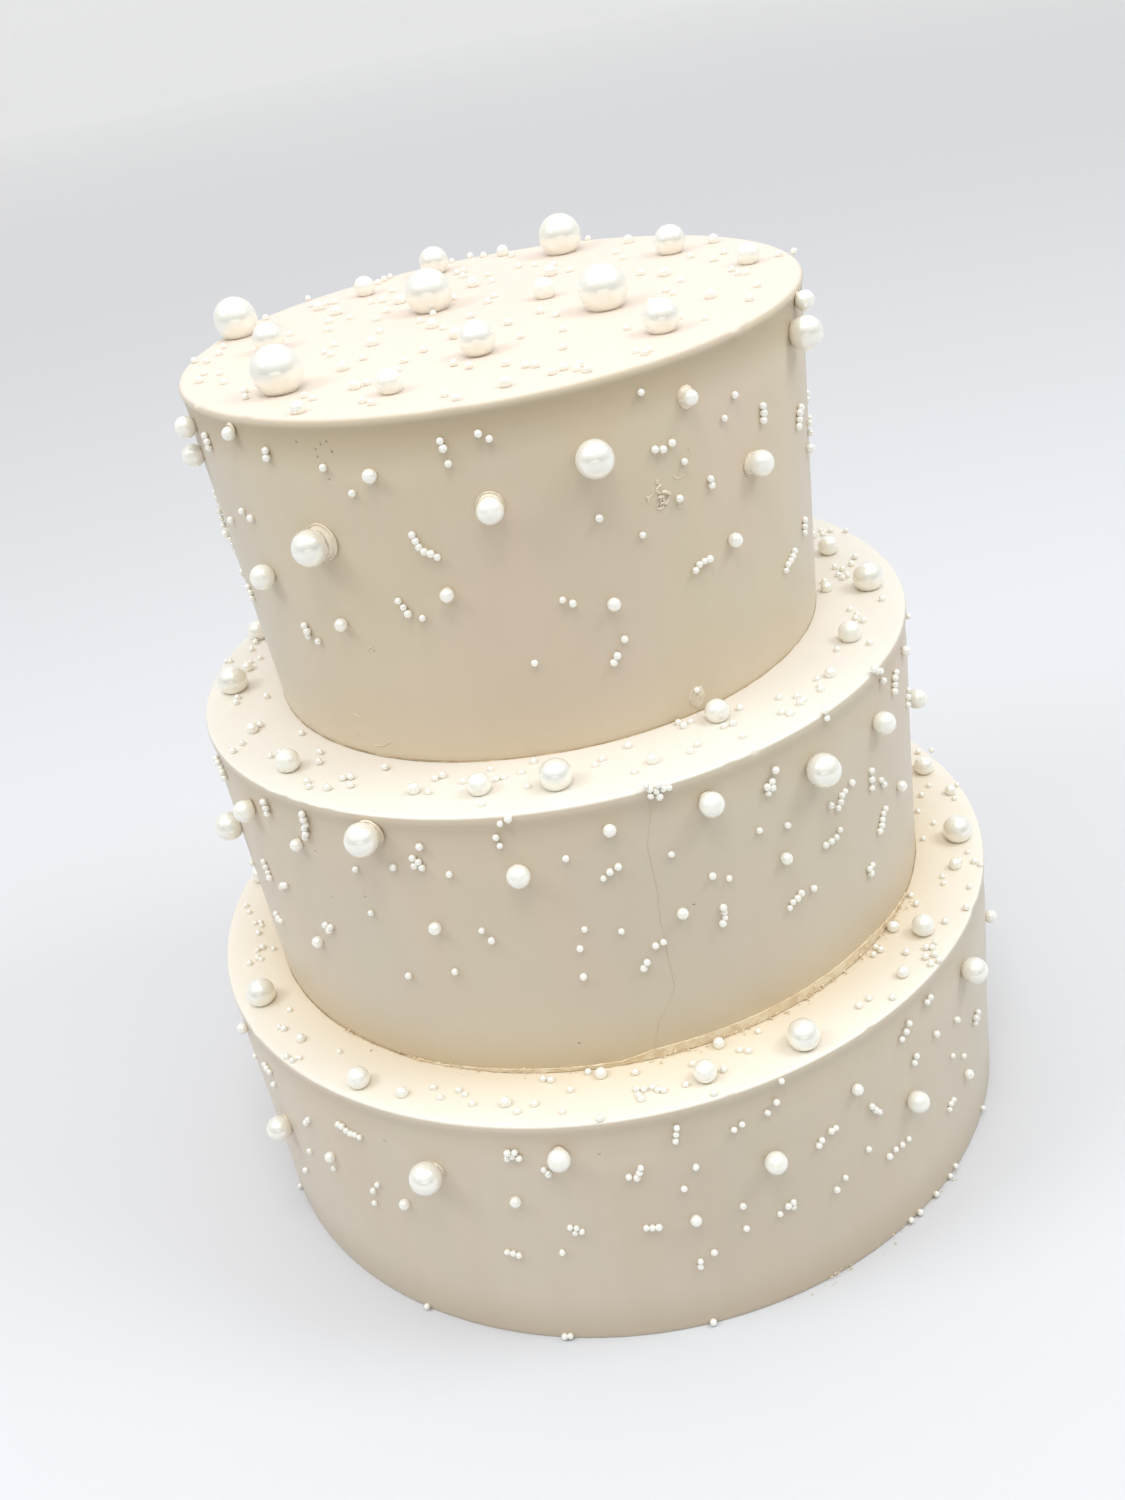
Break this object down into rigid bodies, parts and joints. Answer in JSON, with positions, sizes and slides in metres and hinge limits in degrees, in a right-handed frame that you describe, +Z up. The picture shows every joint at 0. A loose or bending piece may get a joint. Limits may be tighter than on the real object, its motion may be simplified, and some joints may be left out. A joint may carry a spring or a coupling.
{
  "type": "tiered wedding cake",
  "caption": "Tall round tiered celebration cake coated in smooth pale ganache, with crisp rims and glossy cream sugar pearls of many sizes set on its ledges and sides.",
  "frame": {"origin": "centre of the cake's round foot, on the surface that it stands on", "axes": "+Z up through the tiers, -Y towards the viewer of the front, +X to the right of the front"},
  "size_m": [0.2629, 0.2678, 0.2895],
  "materials": {
    "ganache": "smooth matt white chocolate ganache, pale beige, a little lighter on top faces and rims",
    "sugar_pearl": "polished sugar pearl with a soft pearly sheen, cream white"
  },
  "bodies": {
    "root": {"tier_bottom": "ganache", "tier_middle": "ganache", "tier_top": "ganache", "pearl_bottom_1": "sugar_pearl", "pearl_bottom_2": "sugar_pearl", "pearl_bottom_3": "sugar_pearl", "pearl_bottom_4": "sugar_pearl", "pearl_bottom_5": "sugar_pearl", "pearl_bottom_6": "sugar_pearl", "pearl_bottom_7": "sugar_pearl", "pearl_bottom_8": "sugar_pearl", "pearl_bottom_9": "sugar_pearl", "pearl_bottom_10": "sugar_pearl", "pearl_bottom_11": "sugar_pearl", "pearl_middle_1": "sugar_pearl", "pearl_middle_2": "sugar_pearl", "pearl_middle_3": "sugar_pearl", "pearl_middle_4": "sugar_pearl", "pearl_middle_5": "sugar_pearl", "pearl_middle_6": "sugar_pearl", "pearl_middle_7": "sugar_pearl", "pearl_middle_8": "sugar_pearl", "pearl_middle_9": "sugar_pearl", "pearl_middle_10": "sugar_pearl", "pearl_top_1": "sugar_pearl", "pearl_top_2": "sugar_pearl", "pearl_top_3": "sugar_pearl", "pearl_top_4": "sugar_pearl", "pearl_top_5": "sugar_pearl", "pearl_top_6": "sugar_pearl", "pearl_top_7": "sugar_pearl", "pearl_top_8": "sugar_pearl", "pearl_top_9": "sugar_pearl", "pearl_top_10": "sugar_pearl", "pearl_top_11": "sugar_pearl", "pearl_top_12": "sugar_pearl", "pearl_top_13": "sugar_pearl", "pearl_top_14": "sugar_pearl", "pearl_top_15": "sugar_pearl", "pearl_top_16": "sugar_pearl"}
  },
  "joints": []
}
